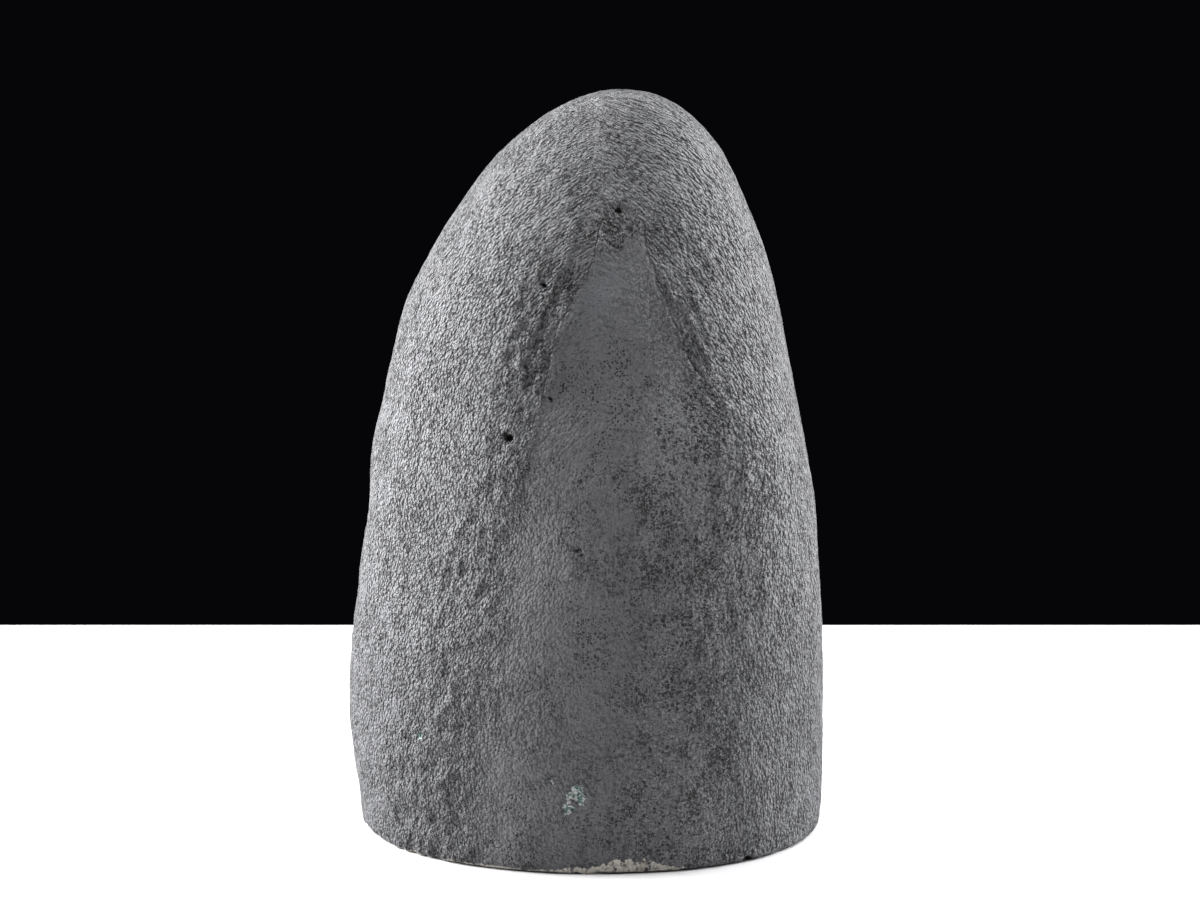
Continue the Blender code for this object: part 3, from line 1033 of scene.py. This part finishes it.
class Graph:
    """Short calls for building a material's nodes."""

    def __init__(self, name):
        self.material = bpy.data.materials.new(name)
        self.material.use_nodes = True
        self.nodes = self.material.node_tree.nodes
        self.links = self.material.node_tree.links
        self.shader = self.nodes["Principled BSDF"]
        self.place = Value(self, self.nodes.new("ShaderNodeTexCoord").outputs["Object"])

    def put(self, socket, value):
        if isinstance(value, Value):
            self.links.new(value.socket, socket)
        elif isinstance(value, tuple) and socket.type == "RGBA":
            socket.default_value = (*value, 1.0)
        else:
            socket.default_value = value

    def node(self, kind, output, values, **settings):
        """One output of a fresh node, as a Value."""
        made = self.nodes.new("ShaderNode" + kind)
        for name, value in settings.items():
            setattr(made, name, value)
        for socket, value in values.items():
            self.put(made.inputs[socket], value)
        return Value(self, made.outputs[output])

    def set(self, **values):
        """Sets the shader's inputs, with spaces for underscores."""
        for name, value in values.items():
            self.put(self.shader.inputs[name.replace("_", " ")], value)

    def read(self, name):
        """One of the mesh's attributes."""
        return self.node("Attribute", "Fac", {}, attribute_name=name)

    def stretched(self, wavelengths):
        """Object coordinates over one wavelength in millimetres or one for each axis."""
        lengths = wavelengths if isinstance(wavelengths, tuple) else (wavelengths,) * 3
        scale = [1.0 / (length * MM) for length in lengths]
        return self.node("Mapping", "Vector", {"Vector": self.place, "Scale": scale})

    def noise(self, wavelengths, detail=2.0, roughness=0.5):
        values = {"Vector": self.stretched(wavelengths), "Scale": 1.0, "Detail": detail}
        return self.node("TexNoise", "Fac", {**values, "Roughness": roughness})

    def cells(self, place):
        """(distance from the nearest cell's middle, that cell's own colour)."""
        distance = self.node("TexVoronoi", "Distance", {"Vector": place, "Scale": 1.0})
        return distance, Value(self, distance.socket.node.outputs["Color"])

    def math(self, operation, first, second=0.0):
        return self.node("Math", 0, {0: first, 1: second}, operation=operation)

    def vector(self, x, y):
        return self.node("CombineXYZ", "Vector", {"X": x, "Y": y})

    def mix(self, share, first, second):
        """A colour between two, at a share of the way from the first to the second."""
        return self.node("Mix", 2, {0: share, 6: first, 7: second}, data_type="RGBA")

    def bump(self, height, depth):
        return self.node("Bump", "Normal", {"Height": height, "Distance": depth * MM})


class Coat(Graph):
    """The coat's graph and what its layers share."""

    def __init__(self):
        super().__init__("painted_coat")
        self.flank = self.read("flank")
        self.bare = self.read("bare")
        self.speckled = self.read("speckled")
        self.fine = self.noise(0.55, detail=1.0)
        self.daubs = self.noise(1.20, roughness=0.6)
        self.patches = self.noise(13.0, detail=3.0)
        self.small_patches = self.noise((5.0, 5.0, 7.0))
        self.ragged = self.noise(0.34, detail=1.0).ramp(0.2, 0.8, -0.34, 0.34)


def coat_material():
    """Grey paint brushed over cement: coarse and pitted on the flanks, finely specked in the middle, with
    painted shade in its creases, specks and pits, low down and towards the front.
    """
    coat = Coat()
    strokes = brushed_grains(coat)
    rough = coat_roughness(coat)
    crowding = speck_crowding(coat)
    pits = coat_pits(coat, rough, crowding)
    rough = rough * coat.read("ridges").ramp(0.1, 0.8, 1.0, 0.4)
    # Towards the sawn front the painted crease shade and the sand are halved.
    even = coat.read("forward").ramp(0.0, 1.0, 1.0, 0.5)

    # Painted shade: the colour darkens in the creases between the grains.
    creases = (rough * 0.75).most(coat.speckled * (crowding * 1.5))
    creases = strokes.ramp(0.66, 0.42) * creases * even
    colour = coat.mix(creases, paint_grey(coat), CREASE_SHADE_GREY)
    colour = sanded(coat, colour, even)
    # The specks and holes are darkened, partly as bare holes in the paint and partly as painted shade.
    colour = coat.mix(pits, colour, PIT_HOLE_AND_SHADE_GREY)
    # Painted shade: the deep single pits are nearly black.
    ragged = coat.daubs.ramp(0.3, 0.7, -0.20, 0.20) + coat.ragged * 0.5
    colour = coat.mix((coat.read("pit") + ragged).ramp(0.44, 0.56), colour, DEEP_PIT_SHADE_GREY)
    colour = broken(coat, colour)

    grain = strokes * 0.40 + coat.fine * 0.14 + coat.daubs * 0.36
    coat.set(Base_Color=colour, Roughness=0.85, Normal=coat.bump(grain * rough - pits * 0.16, COAT_BUMP))
    return coat.material


def brushed_grains(coat):
    """Rounded grains along the brush strokes: 1 on top of each and less in the creases."""
    warp = coat.vector(coat.fine * 0.5, coat.daubs * 0.9)
    sides = []
    for side, (around, along) in GRAIN_SIZES.items():
        x = coat.math("DIVIDE", coat.read(side + "_around"), around)
        y = coat.math("DIVIDE", coat.read(side + "_along"), along)
        place = coat.node("VectorMath", 0, {0: coat.vector(x, y), 1: warp})
        distance, _ = coat.cells(place)
        sides.append(1.0 - distance * distance)
    values = {0: coat.read("plus_side"), 2: sides[0], 3: sides[1]}
    return coat.node("Mix", 0, values)


def coat_roughness(coat):
    """How deep the grain is: most on the flanks and the lumps, least on the facet."""
    rough = coat.flank.most(coat.patches.ramp(0.40, 0.60, 0.30, 0.65))
    rough = rough + coat.read("lumpy") * 0.5
    rough = rough * coat.read("facet").ramp(0.0, 1.0, 1.0, 0.5)
    return rough * coat.small_patches.ramp(0.30, 0.62, 0.72, 1.10)


def speck_crowding(coat):
    """How large the specks grow, in clusters."""
    crowding = coat.noise(9.0, detail=4.0, roughness=0.6).ramp(0.42, 0.66, 0.14, 0.66)
    crowding = crowding + coat.speckled * 0.08 + coat.speckled.ramp(1.1, 1.9, 0.0, 0.40)
    return crowding * (1.0 - coat.bare * 0.65)


def specks(coat, spacing, radius):
    """Separate ragged specks, one to a cell, up to a radius given in cells."""
    distance, colour = coat.cells(coat.stretched(spacing))
    chance = coat.node("SeparateColor", "Red", {"Color": colour})
    return (chance * radius - (distance + coat.ragged)).ramp(-0.02, 0.08)


def coat_pits(coat, rough, crowding):
    """Specks all over, and larger holes where the coat is rough or speckled."""
    dots = specks(coat, SPECK_SPACING, crowding) * (coat.flank.ramp(0.0, 1.0, 1.0, 0.80) + coat.speckled)
    holes = specks(coat, HOLE_SPACING, coat.small_patches.ramp(0.3, 0.7, 0.25, 0.62))
    return coat.math("MINIMUM", dots.most(holes * rough.most(coat.speckled)), 1.0)


def paint_grey(coat):
    """The paint's grey: darker where it is troweled, and darker low down and towards the front as painted
    shade.
    """
    troweled = coat.mix(coat.patches.ramp(0.35, 0.65), *TROWELED_GREYS)
    troweled = coat.mix(coat.bare, troweled, BARE_GREY)
    # Painted shade: the brushed grey darkens low down and towards the front.
    brushed = coat.mix(coat.read("low"), BRUSHED_GREY, LOW_SHADE_GREY)
    brushed = coat.mix(coat.read("forward"), brushed, FORWARD_SHADE_GREY)
    return coat.mix(coat.flank, troweled, brushed)


def sanded(coat, colour, even):
    """Dark and pale sand in the paint."""
    sand = coat.noise((0.42, 0.42, 0.50), detail=1.0)
    sandy = coat.flank.ramp(0.0, 1.0, 0.20, 0.30).most(coat.speckled * 0.65)
    sandy = sandy.most(coat.read("streaky") * 0.90) * even
    colour = coat.mix(sand.ramp(0.48, 0.34) * (sandy * 0.7), colour, DARK_SAND)
    return coat.mix(sand.ramp(0.52, 0.66) * sandy, colour, PALE_SAND)


def broken(coat, colour):
    """Bare rock where the coat is worn off the foot's edge or chipped."""
    crumbs = coat.noise(1.3, detail=4.0, roughness=0.6)
    worn = (crumbs + coat.read("worn") * 0.40).ramp(0.80, 0.88)
    chipped = (crumbs + coat.read("chip") * 0.50).ramp(0.74, 0.84)
    rock = coat.mix(coat.daubs.ramp(0.40, 0.58), *CHIPPED_ROCK)
    return coat.mix(chipped, coat.mix(worn, colour, WORN_ROCK), rock)


def rim_material():
    """The sawn rock: brown-grey basalt with pale specks, and agate next to the quartz."""
    graph = Graph("sawn_rock")
    fine = graph.noise(1.6, detail=4.0, roughness=0.6)
    speck_distance, _ = graph.cells(graph.stretched(1.1))
    basalt = graph.mix(fine.ramp(0.35, 0.65), *BASALT)
    basalt = graph.mix(speck_distance.ramp(0.15, 0.30), BASALT_SPECK, basalt)
    place = graph.read("from_hollow") + graph.noise(7.0, detail=3.0).ramp(0.3, 0.7, -0.8, 0.8)
    lines = graph.math("SINE", place * 9.0)
    agate = graph.mix(lines.ramp(-0.6, 0.6), *AGATE)
    colour = graph.mix(place.ramp(1.9, 2.9), GREEN_SKIN, basalt)
    colour = graph.mix(place.ramp(1.4, 2.1), agate, colour)
    colour = graph.mix(graph.read("from_coat").ramp(0.5, 0.9), CEMENT, colour)
    graph.set(Base_Color=colour, Roughness=fine.ramp(0.3, 0.7, 0.20, 0.34), Normal=graph.bump(fine, 0.04))
    return graph.material


def foot_material():
    """The sawn foot, left rough from the saw."""
    graph = Graph("sawn_foot")
    fine = graph.noise(1.4, detail=4.0, roughness=0.65)
    saw_lines = graph.noise((60.0, 0.9, 60.0))
    rock = graph.mix(graph.noise(12.0, detail=3.0).ramp(0.4, 0.6), *FOOT_ROCK)
    rock = graph.mix(fine.ramp(0.52, 0.66), rock, FOOT_SPECK)
    graph.set(Base_Color=rock, Roughness=0.85, Normal=graph.bump(fine + saw_lines * 0.8, 0.25))
    return graph.material


def band_material():
    """Milky quartz in fine bands, violet at the crystals' roots."""
    graph = Graph("banded_quartz")
    place = graph.read("depth") + graph.noise(5.0, detail=4.0).ramp(0.3, 0.7, -0.14, 0.14)
    lines = graph.math("SINE", place * 34.0)
    milk = graph.mix(lines.ramp(-0.8, 0.8), *MILKY_QUARTZ)
    colour = graph.mix(place.ramp(0.62, 0.98), milk, CRYSTAL_ROOTS)
    graph.set(Base_Color=colour, Roughness=0.16, Normal=graph.bump(graph.noise(1.2, detail=3.0), 0.03))
    graph.set(Subsurface_Weight=0.35, Subsurface_Radius=(1.0, 1.0, 1.0), Subsurface_Scale=1.5 * MM)
    return graph.material


def amethyst_material():
    """Clear violet crystal, paler at its roots."""
    graph = Graph("amethyst")
    place = graph.read("rise") + graph.noise(6.0).ramp(0.3, 0.7, -1.2, 1.2)
    colour = graph.mix(place.ramp(0.5, 6.0), *AMETHYST)
    growth = graph.noise((3.0, 3.0, 0.7), detail=3.0)
    graph.set(Base_Color=colour, Roughness=0.05, Normal=graph.bump(growth, 0.03))
    graph.set(Transmission_Weight=0.86, IOR=1.544)
    depths = graph.node("VolumeAbsorption", "Volume", {"Color": AMETHYST_DEPTHS, "Density": 90.0})
    graph.put(graph.nodes["Material Output"].inputs["Volume"], depths)
    return graph.material


# -------- run


main()
